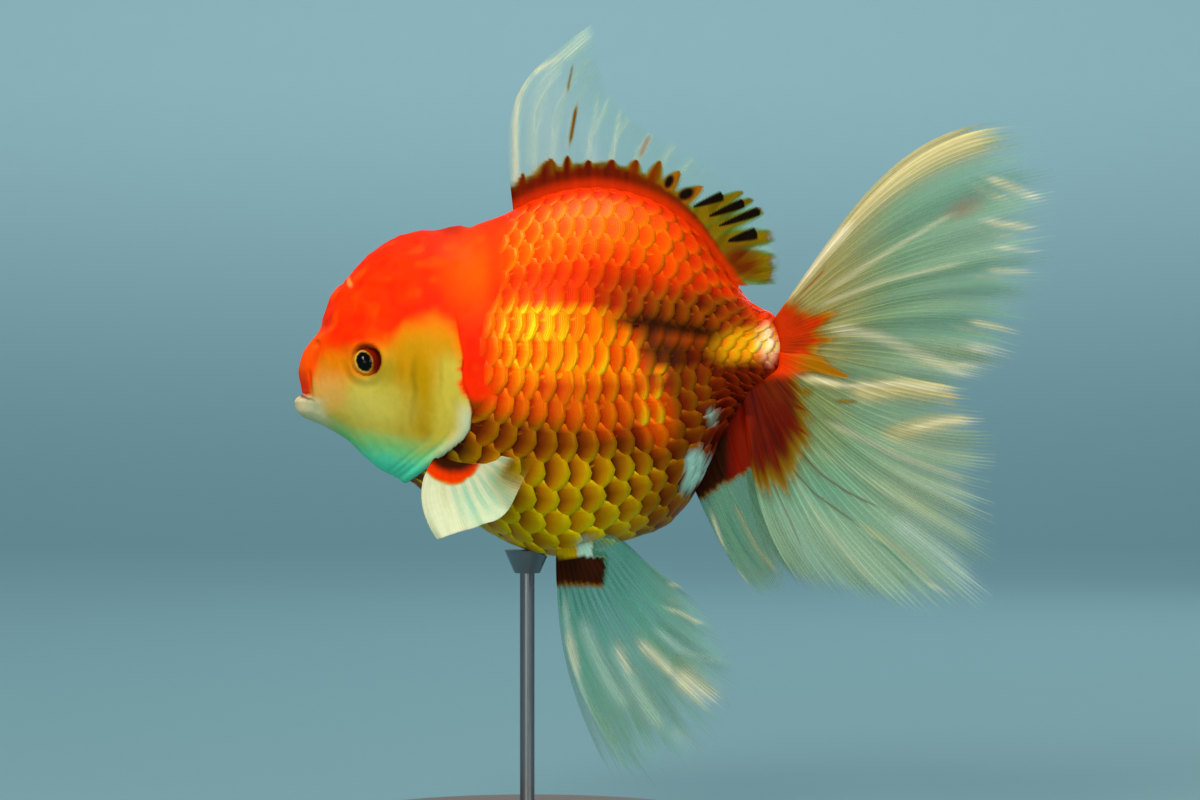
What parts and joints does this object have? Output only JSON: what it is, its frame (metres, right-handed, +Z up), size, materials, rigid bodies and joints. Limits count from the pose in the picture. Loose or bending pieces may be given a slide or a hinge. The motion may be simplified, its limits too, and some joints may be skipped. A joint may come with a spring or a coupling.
{
  "type": "fancy goldfish",
  "caption": "Life-size still model of a fancy goldfish with a round humped body, tall dorsal fin and flowing double tail, held over a flat round base by a slim rod.",
  "frame": {"origin": "centre of the underside of the stand's round base, on the surface it stands on", "axes": "+Z up, the longest extent; -X the way the fish faces; -Y the fish's left side; +Y is the shortest extent"},
  "size_m": [0.1672, 0.092, 0.1819],
  "materials": {
    "head_skin": "wet, smooth, bumpy red-orange skin over the crown, pale olive-yellow cheeks and gill covers, whitish lips and throat",
    "trunk_skin": "glossy metallic scales, red-orange on the back, golden on the flank, dark brown with olive-yellow rims on the belly",
    "eye": "clear glossy cornea over a black pupil with a thin pale yellow ring",
    "fin": "thin translucent cream to sea-green membrane with fine rays and dark red-brown bases",
    "stand_wood": "dark stained hardwood, satin",
    "stand_steel": "satin steel"
  },
  "bodies": {
    "root": {"head": "head_skin", "trunk": "trunk_skin", "tail_peduncle": "trunk_skin", "eye_left": "eye", "eye_right": "eye", "dorsal_fin": "fin", "pectoral_fin_left": "fin", "pectoral_fin_right": "fin", "pelvic_fin_left": "fin", "pelvic_fin_right": "fin", "anal_fin_left": "fin", "anal_fin_right": "fin", "tail_fin_left_upper": "fin", "tail_fin_left_lower": "fin", "tail_fin_right_upper": "fin", "tail_fin_right_lower": "fin", "stand_base": "stand_wood", "stand_collar": "stand_steel", "stand_rod": "stand_steel", "stand_cup": "stand_steel"}
  },
  "joints": []
}
